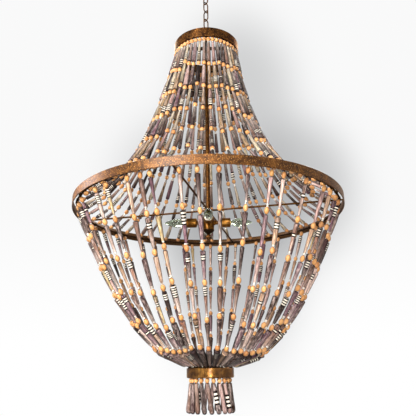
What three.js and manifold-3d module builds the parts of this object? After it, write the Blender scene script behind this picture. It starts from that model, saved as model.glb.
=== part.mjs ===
// Beaded chandelier: a three-tier basket of strung spine and wood beads on iron rings,
// with a four-light cluster inside, hung by a short chain from a ceiling canopy.
// Millimetres, +Z up. The origin is the middle of the face that meets the ceiling.
import * as THREE from 'three';
import { mergeVertices } from 'three/addons/utils/BufferGeometryUtils.js';
import Module from 'manifold-3d';

const wasm = await Module();
wasm.setup();

// General clearances
const seat = 0.3;              // gap left between two pieces that touch
const cut = 1;                 // how far a cutting tool runs past a face
const weldGap = 0.0001;        // corners closer than this are one corner
const turn = 2 * Math.PI;
const degree = Math.PI / 180;

// Ceiling fitting
const canopyRadius = 63.5;
const canopyHeight = 25;
const canopyWall = 1.5;
const barEndInset = 10;        // from the canopy's inside to the bar's end
const barWidth = 22;
const barThickness = 3;
const barScrewSpacing = 70;
const barScrewRadius = 2.5;
const bossRadius = 9;
const bossHeight = 6;
const nippleRadius = 5;
const nippleBore = 3;
const nippleInLoop = 8.4;      // length of nipple screwed into the canopy loop
const threadClearance = 0.3;

// Chain and its two loops
const linkWire = 3.6;
const linkLength = 38.1;
const linkWidth = 20;
const linkCount = 5;
const linkPlay = 0.4;          // gap between two wires that hang in each other
const chainTurn = 45 * degree; // the chain shows every link half open
const loopWire = 4.5;
const loopRadius = 10;         // to the middle of the wire
const loopBaseRadius = 9;
const canopyLoopBase = 12;
const fixtureLoopBase = 19;
const loopSink = 1;            // how deep the eye is cast into its base

// Stem and top ring
const stemRadius = 5.5;
const stemBore = 4;
const stemThread = 12;         // length of stem inside the loop's base
const topRingRadius = 94;
const topRingHeight = 28.5;
const topRingWall = 2.5;
const topRingRise = 1.9;       // how far the ring stands above the cross that carries it
const crossWidth = 14;
const crossThickness = 3;
const crossHubRadius = 14;
const hoopWire = 5;
const topHoopLift = 2.8;       // from the ring's lower edge to the middle of the hoop
const locknutRadius = 9;
const locknutHeight = 5;

// Big ring
const ringDrop = 492.4;        // from the top ring's lower edge to the big ring's lower edge
const ringRadius = 350;
const ringHeight = 22;
const ringWall = 2.5;
const strandHoopInset = 9.5;   // from the ring's inside to the middle of the hoop
const strandHoopLift = 8;      // from the ring's lower edge to the middle of the hoop
const spokeRadius = 2.5;
const spokeCount = 4;
const spokeTurn = -13 * degree;
const collarRadius = 8;
const collarHeight = 10;

// Light cluster
const hubNippleRadius = 3.6;
const hubNippleOverlap = 12;   // length of nipple inside the stem
const hubNippleGrip = 7.5;     // length of nipple inside the hub, wall included
const hubDropBelowStem = 16.1;
const hubRadius = 14.75;
const hubHeight = 32.5;
const hubWall = 1.5;
const hubCapHeight = 11;
const hubCapTip = 5;
const hubCapRim = 2;
const lightRiseShare = 1 / 9;  // of the hub's height, from its middle up to the arms
const finialRadius = 8;
const finialNeck = 3.5;
const finialTopShare = 0.95;   // of the ball's radius, from its middle up to its flat top
const lightCount = 4;
const armRadius = 5;
const armLength = 14.6;
const coverRadius = 12.5;
const coverWall = 1.2;
const coverLength = 28;
const insertLength = 25;
const bulbBaseRadius = 6.1;
const socketBore = 6.6;
const socketDepth = 21;
const bulbBaseLength = 22.5;
const bulbRadius = 11.8;
const bulbNeck = 6.2;
const bulbLength = 57;

// Bottom ring
const bottomDrop = 407.7;      // from the big ring's lower edge down to this ring's lower edge
const bottomRingRadius = 57;
const bottomRingHeight = 22.7;
const bottomRingWall = 2;
const bottomLip = 3.5;
const bottomArmWidth = 3;
const bottomArmHeight = 11.5;
const bottomHubRadius = 12;
const smallWire = 4;
const lowerHoopInset = 5;      // from the ring's inside to the middle of the hoop
const lowerHoopAboveRim = 4;   // the strands clear the ring's rim
const tasselHoopInset = 8;

// Strung beads
const wireRadius = 1.1;
const upperHook = 3.5;         // bare wire between a hoop and the first bead
const lowerHook = 1.5;
const lowerEndHook = 10;       // bare wire over the bottom ring's rim
const beadPlay = 0.4;          // gap between two beads on one wire
const upperStrands = 48;
const upperSpines = 6;
const upperWoodLength = 12;
const upperWoodRadius = 4.6;
const upperSpineFat = 5.6;
const upperSpineThin = 3.5;
const upperExtraWood = 4;      // wood beads after the last spine
const upperSag = 87.5;         // how far the middle hangs below a straight line
const upperSagLean = -10;      // how much more the strands on the +X side sag
const upperPull = 27;          // how far the middle is drawn in towards the axis
const upperPullLean = 13.1;
const lowerStrands = 44;
const lowerSpines = 6;
const lowerWoodLength = 15.5;
const lowerWoodRadius = 5.3;
const lowerSpineFat = 5.4;
const lowerSpineThin = 2.9;
const lowerSag = 93.1;
const lowerSagLean = 6.9;
const lastSpineShare = 1.08;   // the spine that runs into the bottom ring is longer
const strandJitter = 1.9 * degree;
const strandSectors = 4;
const upperEndAngle = 35 * degree;   // where on the hoop's section the upper strands end
const strandSides = 3;
const topRingSides = upperStrands;   // the ring's facets line up with its hoop's
const upperTurn = -15 * degree;
const lowerTurn = -13 * degree;
const driftStart = -3.894;           // keeps the strands beside the spokes clear of them
// Where the strands at the front stand off their even spaces, in degrees, as photographed
const upperFront = 32;               // the first of these strands
const upperOffsets = [3, 6, 2.3, -1.5, -0.3, -0.3, -1.9, -0.3, -0.3, -0.7, 0, -3, -2, -1.9];
const lowerFront = 26;
const lowerOffsets = [-3, -4.6, 1.2, 0.2, 3, 0.5, -3.9, -1.1, -3, -3.7, -1.5, -0.7, -3.8, -1, 2.8, 0.6, -0.5];

// Tassel
const pendantPairs = 10;
const pendantHook = 7.5;
const pendantWoodLength = 12;
const pendantWoodRadius = 5.4;
const pendantSpineLength = 66;
const pendantSpineThin = 4.2;
const pendantSpineFat = 5.8;
const pendantFatShare = 0.86;
const pendantTipShare = 0.55;
const pendantSides = 5;

// Facets round each kind of piece
const wireSides = 5;
const endSteps = 6;
const spokeSides = 8;
const nutSides = 6;
const roundSides = 16;
const lightSides = 10;
const canopySides = 24;
const ringSides = 48;
const bottomRingSides = 30;

// Colours
const paint = {
  bronze: new THREE.MeshStandardMaterial({ color: 0x6b4422, roughness: 0.55, metalness: 0.7 }),
  gold: new THREE.MeshStandardMaterial({ color: 0x9a6a35, roughness: 0.5, metalness: 0.75 }),
  brass: new THREE.MeshStandardMaterial({ color: 0xb07a30, roughness: 0.25, metalness: 1 }),
  dark: new THREE.MeshStandardMaterial({ color: 0x241a12, roughness: 0.6, metalness: 0.5 }),
  nickel: new THREE.MeshStandardMaterial({ color: 0xbab6ae, roughness: 0.3, metalness: 1 }),
  porcelain: new THREE.MeshStandardMaterial({ color: 0xe6e0d2, roughness: 0.5, metalness: 0 }),
  glass: new THREE.MeshStandardMaterial({ color: 0xdfe4e2, roughness: 0.05, metalness: 0 }),
  spine: new THREE.MeshStandardMaterial({ color: 0x857270, roughness: 0.7, metalness: 0 }),
};

const object = new THREE.Group();

function add(name, geometry, material) {
  const mesh = new THREE.Mesh(geometry, material);
  mesh.name = name;
  object.add(mesh);
  return mesh;
}

// A closed mesh as a solid that can be cut and joined, and back
function solid(geometry) {
  const bare = geometry.clone();
  bare.deleteAttribute('normal');
  bare.deleteAttribute('uv');
  const merged = mergeVertices(bare, weldGap);
  return new wasm.Manifold(new wasm.Mesh({
    numProp: 3,
    vertProperties: new Float32Array(merged.attributes.position.array),
    triVerts: new Uint32Array(merged.index.array),
  }));
}

function geometryOf(shape) {
  const mesh = shape.getMesh();
  const geometry = new THREE.BufferGeometry();
  geometry.setAttribute('position', new THREE.BufferAttribute(new Float32Array(mesh.vertProperties), 3));
  geometry.setIndex(new THREE.BufferAttribute(new Uint32Array(mesh.triVerts), 1));
  return geometry;
}

// Several closed meshes joined into one
function joined(geometries) {
  return geometryOf(geometries.map(solid).reduce((whole, next) => whole.add(next)));
}

// A round piece about Z from its outline in radius and height, listed up the outside
function turned(outline, sides) {
  const points = outline.map(([radius, height]) => new THREE.Vector2(radius, height));
  return new THREE.LatheGeometry(points, sides).rotateX(Math.PI / 2);
}

// A cylinder along Z between two heights
function rod(radius, low, high, sides = roundSides) {
  const geometry = new THREE.CylinderGeometry(radius, radius, high - low, sides).rotateX(Math.PI / 2);
  return geometry.translate(0, 0, (low + high) / 2);
}

// A pipe along Z with walls all round
function pipe(outer, inner, low, high, sides = roundSides) {
  return turned([[inner, low], [outer, low], [outer, high], [inner, high], [inner, low]], sides);
}

// A block between two heights, centred on the axis
function block(length, width, low, high) {
  return new THREE.BoxGeometry(length, width, high - low).translate(0, 0, (low + high) / 2);
}

// A round hoop of wire about Z
function hoop(radius, wire, height, sides) {
  const half = wire / 2;
  const outline = [[radius, height - half], [radius + half, height], [radius, height + half],
    [radius - half, height], [radius, height - half]];
  return turned(outline, sides);
}

// The corner radius that makes a polygon as wide, on average, as a round section
function cornerRadius(radius, sides) {
  return radius * Math.PI / (sides * Math.sin(Math.PI / sides));
}

// A tube through points. Its section is a polygon, and sideways gives one direction across it.
function tube(points, radii, sideways, sides, closed = false) {
  const count = points.length;
  const positions = [];
  const index = [];
  points.forEach((point, i) => {
    const before = points[closed ? (i + count - 1) % count : Math.max(i - 1, 0)];
    const after = points[closed ? (i + 1) % count : Math.min(i + 1, count - 1)];
    const along = after.clone().sub(before).normalize();
    const across = sideways[i].clone().addScaledVector(along, -sideways[i].dot(along)).normalize();
    const outward = new THREE.Vector3().crossVectors(along, across);
    for (let j = 0; j < sides; j++) {
      const angle = Math.PI / 2 + turn * j / sides;
      const corner = point.clone()
        .addScaledVector(across, radii[i] * Math.cos(angle))
        .addScaledVector(outward, radii[i] * Math.sin(angle));
      positions.push(corner.x, corner.y, corner.z);
    }
  });
  for (let i = 0; i < (closed ? count : count - 1); i++) {
    const here = i * sides;
    const there = ((i + 1) % count) * sides;
    for (let j = 0; j < sides; j++) {
      const next = (j + 1) % sides;
      index.push(here + j, here + next, there + next, here + j, there + next, there + j);
    }
  }
  if (!closed) {
    const last = (count - 1) * sides;
    for (let j = 1; j < sides - 1; j++) {
      index.push(0, j + 1, j, last, last + j, last + j + 1);
    }
  }
  const geometry = new THREE.BufferGeometry();
  geometry.setAttribute('position', new THREE.Float32BufferAttribute(positions, 3));
  geometry.setIndex(index);
  return geometry;
}

// A closed loop of wire standing in the XZ plane: two half circles joined by straight sides
function wireLoop(endRadius, straight, wire) {
  const points = [];
  for (const end of [1, -1]) {
    for (let i = 0; i <= endSteps; i++) {
      const angle = Math.PI * i / endSteps;
      const x = end * endRadius * Math.cos(angle);
      const z = end * (straight / 2 + endRadius * Math.sin(angle));
      if (straight > 0 || i < endSteps) points.push(new THREE.Vector3(x, 0, z));
    }
  }
  const radii = points.map(() => wire / 2);
  const sideways = points.map(() => new THREE.Vector3(0, 1, 0));
  return tube(points, radii, sideways, wireSides, true);
}

// Ceiling fitting: a cross bar with a threaded boss, a short nipple, the canopy and its loop
const barLength = 2 * (canopyRadius - canopyWall - barEndInset);
const bossBottom = -barThickness - bossHeight;
const canopyLoopTop = -canopyHeight - seat;
const canopyLoopBottom = canopyLoopTop - canopyLoopBase;
const nippleTop = -barThickness - seat;
const nippleBottom = canopyLoopTop - nippleInLoop;

let bar = solid(block(barLength, barWidth, -barThickness, 0));
bar = bar.add(solid(rod(bossRadius, bossBottom, -barThickness / 2)));
bar = bar.subtract(solid(rod(nippleRadius + threadClearance, bossBottom - cut, -barThickness)));
for (const side of [-1, 1]) {
  const hole = rod(barScrewRadius, -barThickness - cut, cut, lightSides);
  bar = bar.subtract(solid(hole.translate(side * barScrewSpacing / 2, 0, 0)));
}
add('mounting_bar', geometryOf(bar), paint.nickel);

add('canopy_nipple', pipe(nippleRadius, nippleBore, nippleBottom, nippleTop), paint.nickel);

// The canopy is a spun dome: its outline is a quarter of an ellipse, outside and inside
function dome(radius, height, hole, steps) {
  const outline = [];
  for (let i = 0; i < steps; i++) {
    const angle = Math.PI / 2 * i / steps;
    outline.push([radius * Math.cos(angle), -height * Math.sin(angle)]);
  }
  outline.push([hole, -height]);
  return outline;
}
const canopyHole = nippleRadius + threadClearance;
const domeSteps = 4;
const outerDome = dome(canopyRadius, canopyHeight, canopyHole, domeSteps).reverse();
const innerDome = dome(canopyRadius - canopyWall, canopyHeight - canopyWall, canopyHole, domeSteps);
add('canopy', turned([...outerDome, ...innerDome, outerDome[0]], canopySides), paint.bronze);

// An eye cast on a round base, hanging below it or standing on it
function loopOnBase(baseLow, baseHigh, eyeHeight, boreLow, boreHigh, boreRadius) {
  const eye = solid(wireLoop(loopRadius, 0, loopWire).translate(0, 0, eyeHeight));
  const base = solid(rod(loopBaseRadius, baseLow, baseHigh));
  const bore = solid(rod(boreRadius, boreLow, boreHigh));
  return geometryOf(base.add(eye).subtract(bore));
}
const canopyEye = canopyLoopBottom + loopSink - loopRadius - loopWire / 2;
add('canopy_loop', loopOnBase(canopyLoopBottom, canopyLoopTop, canopyEye,
  nippleBottom - seat, canopyLoopTop + cut, nippleRadius + threadClearance), paint.bronze)
  .rotation.z = chainTurn;

// Chain: each link hangs in the wire above it, and stands square to it
const linkEndRadius = (linkWidth - linkWire) / 2;
const linkStraight = linkLength - linkWidth;
const linkSpan = linkLength - linkWire;
const loopToLink = (loopWire + linkWire) / 2 + linkPlay;
const linkToLink = linkWire + linkPlay;
let wireAbove = canopyEye - loopRadius;
for (let i = 0; i < linkCount; i++) {
  const top = wireAbove + (i === 0 ? loopToLink : linkToLink);
  const link = add(`chain_link_${i + 1}`, wireLoop(linkEndRadius, linkStraight, linkWire), paint.bronze);
  link.position.z = top - linkSpan / 2;
  link.rotation.z = chainTurn + (i % 2 === 0 ? Math.PI / 2 : 0);
  wireAbove = top - linkSpan;
}

// Loop of the fixture, with the stem screwed into its base
const fixtureEye = wireAbove + loopToLink - loopRadius;
const fixtureBaseTop = fixtureEye - loopRadius - loopWire / 2 + loopSink;
const fixtureBaseBottom = fixtureBaseTop - fixtureLoopBase;
const stemTop = fixtureBaseBottom + stemThread;
add('fixture_loop', loopOnBase(fixtureBaseBottom, fixtureBaseTop, fixtureEye,
  fixtureBaseBottom - cut, stemTop + seat, stemRadius + threadClearance), paint.bronze)
  .rotation.z = chainTurn + (linkCount % 2 === 0 ? Math.PI / 2 : 0) + Math.PI;

// Heights of the three rings
const crossTop = fixtureBaseBottom - seat;
const topRingTop = crossTop + topRingRise;
const topRingBottom = topRingTop - topRingHeight;
const ringBottom = topRingBottom - ringDrop;
const bottomRingBottom = ringBottom - bottomDrop;
const bottomRingTop = bottomRingBottom + bottomRingHeight;

// Flat distance from the axis to a facet whose corners lie at this radius
function facet(radius, sides) {
  return radius * Math.cos(Math.PI / sides);
}

// Top ring: a rolled band, the cross that carries it, and the hoop that the strands hang from
const topRingInside = topRingRadius - topRingWall;
add('top_ring', pipe(topRingRadius, topRingInside, topRingBottom, topRingTop, topRingSides), paint.bronze)
  .rotation.z = upperTurn;

function cross(width, reach, hubRadius, boreRadius, low, high) {
  let shape = solid(block(2 * reach, width, low, high));
  shape = shape.add(solid(block(width, 2 * reach, low, high)));
  shape = shape.add(solid(rod(hubRadius, low, high)));
  return boreRadius > 0 ? shape.subtract(solid(rod(boreRadius, low - cut, high + cut))) : shape;
}
const topReach = facet(topRingInside, topRingSides) - seat;
add('top_cross', geometryOf(cross(crossWidth, topReach, crossHubRadius, stemRadius + threadClearance,
  crossTop - crossThickness, crossTop)), paint.bronze);
const locknutTop = crossTop - crossThickness - seat;
const locknut = solid(rod(locknutRadius, locknutTop - locknutHeight, locknutTop, nutSides));
const locknutBore = rod(stemRadius + threadClearance, locknutTop - locknutHeight - cut, locknutTop + cut);
add('top_locknut', geometryOf(locknut.subtract(solid(locknutBore))), paint.bronze);

const topHoopRadius = topRingInside - seat - hoopWire / 2;
const topHoopHeight = topRingBottom + topHoopLift;

// Big ring: band, the hoop for both sets of strands, and the spokes lying on the hoop
const ringInside = ringRadius - ringWall;
const strandHoopRadius = ringInside - strandHoopInset;
const strandHoopHeight = ringBottom + strandHoopLift;
const spokeHeight = strandHoopHeight + hoopWire / 2 + seat + spokeRadius;
const ringTurn = spokeTurn + Math.PI / ringSides;
add('big_ring', pipe(ringRadius, ringInside, ringBottom, ringBottom + ringHeight, ringSides), paint.gold)
  .rotation.z = ringTurn;
add('strand_hoop', hoop(strandHoopRadius, hoopWire, strandHoopHeight, ringSides), paint.dark)
  .rotation.z = ringTurn;

const spokeReach = facet(ringInside, ringSides) - seat;
const collarBottom = spokeHeight - collarHeight / 2;
const collarBore = stemRadius + threadClearance;
const spokeStart = (collarRadius + collarBore) / 2;   // inside the collar's wall
const spider = [pipe(collarRadius, collarBore, collarBottom, collarBottom + collarHeight)];
for (let i = 0; i < spokeCount; i++) {
  const spoke = rod(spokeRadius, spokeStart, spokeReach, spokeSides).rotateY(Math.PI / 2);
  spider.push(spoke.rotateZ(spokeTurn + turn * i / spokeCount).translate(0, 0, spokeHeight));
}
add('spokes', joined(spider), paint.dark);
add('stem', pipe(stemRadius, stemBore, collarBottom, stemTop), paint.bronze);

// Light cluster: a spun body on a short nipple, closed by a cap and a ball finial
const hubTop = collarBottom - hubDropBelowStem;
const hubBottom = hubTop - hubHeight;
add('hub_nipple', rod(hubNippleRadius, hubTop - hubNippleGrip, collarBottom + hubNippleOverlap),
  paint.nickel);
const hubBore = hubNippleRadius + threadClearance;
const hubInside = hubRadius - hubWall;
const lightHeight = (hubTop + hubBottom) / 2 + hubHeight * lightRiseShare;
const hub = [turned([[hubBore, hubTop - hubWall], [hubInside, hubTop - hubWall], [hubInside, hubBottom],
  [hubRadius, hubBottom], [hubRadius, hubTop], [hubBore, hubTop], [hubBore, hubTop - hubWall]], roundSides)];
for (let i = 0; i < lightCount; i++) {
  const arm = rod(armRadius, hubRadius - hubWall / 2, hubRadius + armLength, lightSides).rotateY(Math.PI / 2);
  hub.push(arm.rotateZ(turn * i / lightCount).translate(0, 0, lightHeight));
}
add('hub_body', joined(hub), paint.gold);
const capTop = hubBottom - seat;
const capBottom = capTop - hubCapHeight;
add('hub_cap', turned([[0, capBottom], [hubCapTip, capBottom], [hubRadius, capTop - hubCapRim],
  [hubRadius, capTop], [0, capTop]], roundSides), paint.dark);

const finialTop = capBottom - seat;
const finialCentre = finialTop - finialRadius * finialTopShare;
const finialOutline = [[0, finialCentre - finialRadius]];
const ballSteps = 5;
for (let i = 1; i < ballSteps; i++) {
  const angle = Math.PI * i / ballSteps;
  const radius = finialRadius * Math.sin(angle);
  const height = finialCentre - finialRadius * Math.cos(angle);
  if (height < finialTop) finialOutline.push([radius, height]);
}
finialOutline.push([finialNeck, finialTop], [0, finialTop]);
add('finial', turned(finialOutline, roundSides), paint.bronze);

// Four lights, each a metal cover, a socket and a bulb that screws out along it
const coverInside = coverRadius - coverWall;
const coverFloor = 1.5 * coverWall;
const coverStart = hubRadius + armLength + seat;
const insertStart = coverStart + coverFloor + seat;
const insertEnd = insertStart + insertLength;
const insertRadius = coverInside - seat;
const boreEnd = insertEnd - socketDepth;
const bulbBaseStart = boreEnd + 2 * seat;
const bulbBaseEnd = bulbBaseStart + bulbBaseLength;
const bulbStart = bulbBaseEnd + seat;

// A torpedo bulb: a neck, a swelling, and a long taper to a round tip
const bulbShares = [[0.0, 0.52], [0.12, 0.78], [0.3, 1.0], [0.54, 0.9], [0.78, 0.56], [0.95, 0.2]];
const bulbOutline = [[0, 0], ...bulbShares.map(([along, wide], i) =>
  [i === 0 ? bulbNeck : bulbRadius * wide, bulbLength * along]), [0, bulbLength]];

const cupOutline = [[0, 0], [coverRadius, 0], [coverRadius, coverLength], [coverInside, coverLength],
  [coverInside, coverFloor], [0, coverFloor]];
const insertOutline = [[0, 0], [insertRadius, 0], [insertRadius, insertLength], [socketBore, insertLength],
  [socketBore, insertLength - socketDepth], [0, insertLength - socketDepth]];
const baseTip = bulbBaseRadius / 2;
const baseOutline = [[0, 0], [baseTip, 0], [bulbBaseRadius, baseTip], [bulbBaseRadius, bulbBaseLength],
  [0, bulbBaseLength]];
const lightPieces = [
  ['socket_cover', cupOutline, coverStart, paint.gold],
  ['socket', insertOutline, insertStart, paint.porcelain],
  ['bulb_base', baseOutline, bulbBaseStart, paint.brass],
  ['bulb_glass', bulbOutline, bulbStart, paint.glass],
];
for (let i = 0; i < lightCount; i++) {
  const light = new THREE.Group();
  light.position.z = lightHeight;
  light.rotation.z = turn * i / lightCount;
  for (const [name, outline, start, material] of lightPieces) {
    const piece = new THREE.Mesh(turned(outline, lightSides).rotateY(Math.PI / 2), material);
    piece.name = `${name}_${i + 1}`;
    piece.position.x = start;
    light.add(piece);
  }
  object.add(light);
}

// Bottom ring: a spun brass band with a rolled lower lip, on a cross of bars set on edge
const lipInside = bottomRingRadius - 1.2 * bottomLip;
const bottomInside = bottomRingRadius - bottomRingWall;
const lowerHoopRadius = bottomInside - lowerHoopInset;
const tasselHoopRadius = bottomInside - tasselHoopInset;
add('bottom_ring', turned([[lipInside, bottomRingBottom + bottomLip / 2],
  [lipInside + bottomLip / 4, bottomRingBottom],
  [bottomRingRadius - bottomLip / 4, bottomRingBottom + bottomLip / 3],
  [bottomRingRadius, bottomRingBottom + bottomLip], [bottomRingRadius, bottomRingTop],
  [bottomInside, bottomRingTop], [bottomInside, bottomRingBottom + bottomLip],
  [lipInside, bottomRingBottom + bottomLip / 2]], bottomRingSides), paint.brass)
  .rotation.z = Math.PI / bottomRingSides;
const lowerHoopHeight = bottomRingTop + lowerHoopAboveRim;
const bottomArmTop = lowerHoopHeight - smallWire / 2 - seat;
const bottomArmBottom = bottomArmTop - bottomArmHeight;
const tasselHoopHeight = bottomArmBottom - seat - smallWire / 2;
const bottomReach = facet(bottomInside, bottomRingSides) - seat;
add('bottom_cross', geometryOf(cross(bottomArmWidth, bottomReach, bottomHubRadius, 0,
  bottomArmBottom, bottomArmTop)), paint.dark);
add('tassel_hoop', hoop(tasselHoopRadius, smallWire, tasselHoopHeight, 2 * pendantPairs), paint.dark);

// The beads along one strand, as distances along it with the radius there.
// Fat ends of the spines face the big ring, as on the photographed piece.
function beadProfile(length, pattern) {
  const { spines, wood, woodRadius, fat, thin, hook, endHook, extraWood, lastShare, fatFirst } = pattern;
  const woods = spines + extraWood;
  const beads = spines + woods;
  const free = length - hook - endHook - woods * wood - (beads + 1) * beadPlay;
  const spine = free / (spines - 1 + lastShare);
  const profile = [[0, wireRadius]];
  let at = hook + beadPlay;
  for (let i = 0; i < spines; i++) {
    const long = i === spines - 1 ? spine * lastShare : spine;
    profile.push([at + wood / 2, woodRadius]);
    at += wood + beadPlay;
    profile.push([at, fatFirst ? fat : thin]);
    at += long;
    profile.push([at, fatFirst ? thin : fat]);
    at += beadPlay;
  }
  for (let i = 0; i < extraWood; i++) {
    profile.push([at + wood / 2, woodRadius]);
    at += wood + beadPlay;
  }
  profile.push([length, wireRadius]);
  return profile;
}

// One strand hangs in a parabola between two points given as radius and height
function strand(start, end, pull, sag, azimuth, drift, driftAt, pattern) {
  const middle = start.clone().add(end).multiplyScalar(0.5);
  middle.x -= 2 * pull;
  middle.y -= 2 * sag;
  const curve = new THREE.QuadraticBezierCurve(start, middle, end);
  const length = curve.getLength();
  const points = [];
  const radii = [];
  const sideways = [];
  for (const [distance, radius] of beadProfile(length, pattern)) {
    const place = curve.getPointAt(Math.min(distance / length, 1));
    const around = azimuth + drift * driftAt(place.x);
    points.push(new THREE.Vector3(place.x * Math.cos(around), place.x * Math.sin(around), place.y));
    radii.push(cornerRadius(radius, strandSides));
    sideways.push(new THREE.Vector3(Math.sin(around), -Math.cos(around), 0));
  }
  return tube(points, radii, sideways, strandSides);
}

// A quarter of the hoop that a set of strands is hooked to, cut at its middle between two strands
function hoopQuarter(radius, wire, height, from, steps) {
  const trim = seat / radius;
  const points = [];
  const sideways = [];
  for (let i = 0; i <= steps; i++) {
    const angle = from + turn / strandSectors * i / steps + (i === 0 ? trim : 0) - (i === steps ? trim : 0);
    points.push(new THREE.Vector3(radius * Math.cos(angle), radius * Math.sin(angle), height));
    sideways.push(new THREE.Vector3(Math.cos(angle), Math.sin(angle), 1));
  }
  return tube(points, points.map(() => wire / Math.SQRT2), sideways, 4);
}

// Strands don't hang at even spaces: each is set off, away from the front by a steady but uneven amount
function drift(i, set) {
  const offset = set.offsets[i - set.front];
  if (offset !== undefined) return offset * degree;
  return strandJitter * Math.sin(2.4 * i + 0.7 * Math.sin(1.3 * i) + driftStart);
}
const hoopGrip = hoopWire / 2 + wireRadius;
const upperStart = new THREE.Vector2(topHoopRadius - hoopWire / 6, topHoopHeight);
const upperEnd = new THREE.Vector2(strandHoopRadius - hoopGrip * Math.cos(upperEndAngle),
  strandHoopHeight + hoopGrip * Math.sin(upperEndAngle));
const lowerStart = new THREE.Vector2(strandHoopRadius,
  strandHoopHeight - hoopWire / 2 - seat - wireRadius / 2);
const lowerEnd = new THREE.Vector2(lowerHoopRadius, lowerHoopHeight);
const upperPattern = { spines: upperSpines, wood: upperWoodLength, woodRadius: upperWoodRadius,
  fat: upperSpineFat, thin: upperSpineThin, hook: upperHook, endHook: upperHook,
  extraWood: upperExtraWood, lastShare: 1, fatFirst: false };
const lowerPattern = { spines: lowerSpines, wood: lowerWoodLength, woodRadius: lowerWoodRadius,
  fat: lowerSpineFat, thin: lowerSpineThin, hook: lowerHook, endHook: lowerEndHook,
  extraWood: 0, lastShare: lastSpineShare, fatFirst: true };
function strandQuarter(quarter, set) {
  const perQuarter = set.count / strandSectors;
  const from = set.startTurn + turn * quarter / strandSectors;
  const pieces = [hoopQuarter(set.hoopRadius, set.hoopWire, set.hoopHeight, from, perQuarter)];
  for (let k = 0; k < perQuarter; k++) {
    const i = quarter * perQuarter + k;
    const azimuth = set.startTurn + turn * (i + 0.5) / set.count;
    const sag = set.sag + set.sagLean * Math.cos(azimuth);
    const pull = set.pull + set.pullLean * Math.cos(azimuth);
    const share = (radius) =>
      Math.max(0, (radius - set.hoopRadius) / (strandHoopRadius - set.hoopRadius)) ** set.driftPower;
    pieces.push(strand(set.start, set.end, pull, sag, azimuth, drift(i, set), share, set.pattern));
  }
  add(`${set.name}_${quarter + 1}`, joined(pieces), paint.spine);
}
const strandSets = [
  { name: 'upper_strands', count: upperStrands, start: upperStart, end: upperEnd, sag: upperSag,
    sagLean: upperSagLean, pull: upperPull, pullLean: upperPullLean, pattern: upperPattern, driftPower: 1,
    startTurn: upperTurn, front: upperFront, offsets: upperOffsets,
    hoopRadius: topHoopRadius, hoopWire, hoopHeight: topHoopHeight },
  { name: 'lower_strands', count: lowerStrands, start: lowerStart, end: lowerEnd, sag: lowerSag,
    sagLean: lowerSagLean, pull: 0, pullLean: 0, pattern: lowerPattern, driftPower: 1.5,
    startTurn: lowerTurn, front: lowerFront, offsets: lowerOffsets,
    hoopRadius: lowerHoopRadius, hoopWire: smallWire, hoopHeight: lowerHoopHeight },
];
for (const set of strandSets) {
  for (let quarter = 0; quarter < strandSectors; quarter++) strandQuarter(quarter, set);
}

// Tassel: pairs of pendants on one bail, each a wood bead over a spine that hangs fat end down
const pendantTop = tasselHoopHeight - smallWire / 2 - seat;
function pendant(azimuth) {
  const woodTop = pendantTop - pendantHook;
  const woodBottom = woodTop - pendantWoodLength;
  const spineTop = woodBottom - beadPlay;
  const rings = [
    [pendantTop, wireRadius],
    [woodTop, wireRadius],
    [woodTop - pendantWoodLength / 2, pendantWoodRadius],
    [spineTop, pendantSpineThin],
    [spineTop - pendantSpineLength * pendantFatShare, pendantSpineFat],
    [spineTop - pendantSpineLength, pendantSpineFat * pendantTipShare],
  ];
  const x = tasselHoopRadius * Math.cos(azimuth);
  const y = tasselHoopRadius * Math.sin(azimuth);
  const points = rings.map(([height]) => new THREE.Vector3(x, y, height));
  const radii = rings.map(([, radius]) => cornerRadius(radius, pendantSides));
  const sideways = rings.map(() => new THREE.Vector3(-Math.sin(azimuth), Math.cos(azimuth), 0));
  return tube(points, radii, sideways, pendantSides);
}
for (let i = 0; i < pendantPairs; i++) {
  const middle = turn * (i + 0.5) / pendantPairs;
  const half = turn / pendantPairs / 4;
  const bailLength = 2 * tasselHoopRadius * Math.sin(half);
  const bail = block(2 * wireRadius, bailLength, pendantTop - 2 * wireRadius, pendantTop)
    .translate(tasselHoopRadius * Math.cos(half), 0, 0).rotateZ(middle);
  add(`pendant_pair_${i + 1}`, joined([bail, pendant(middle - half), pendant(middle + half)]), paint.spine);
}

export default object;
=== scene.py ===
import math
import random
from collections import namedtuple
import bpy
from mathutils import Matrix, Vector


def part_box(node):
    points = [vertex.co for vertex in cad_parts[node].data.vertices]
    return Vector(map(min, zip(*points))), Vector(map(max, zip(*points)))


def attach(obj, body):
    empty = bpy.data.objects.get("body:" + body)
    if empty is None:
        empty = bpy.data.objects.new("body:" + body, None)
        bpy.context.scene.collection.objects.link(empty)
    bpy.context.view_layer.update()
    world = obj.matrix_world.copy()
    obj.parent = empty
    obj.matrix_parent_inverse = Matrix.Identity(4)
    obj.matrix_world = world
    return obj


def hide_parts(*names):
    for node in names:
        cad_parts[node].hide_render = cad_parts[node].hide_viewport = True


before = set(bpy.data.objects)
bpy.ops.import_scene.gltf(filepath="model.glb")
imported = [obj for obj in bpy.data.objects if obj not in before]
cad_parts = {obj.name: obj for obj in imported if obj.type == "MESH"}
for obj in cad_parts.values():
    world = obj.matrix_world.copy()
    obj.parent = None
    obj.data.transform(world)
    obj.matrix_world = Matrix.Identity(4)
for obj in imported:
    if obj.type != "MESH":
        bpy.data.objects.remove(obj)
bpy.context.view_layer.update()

from types import SimpleNamespace

import bmesh
import bpy
import numpy as np
from mathutils import Matrix, Vector

MM = 0.001
TURN = 2 * math.pi
WHITE = (1, 1, 1, 1)


def span(node, axis=2):
    """Where a CAD node starts and ends along an axis."""
    return [corner[axis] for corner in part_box(node)]


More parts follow.
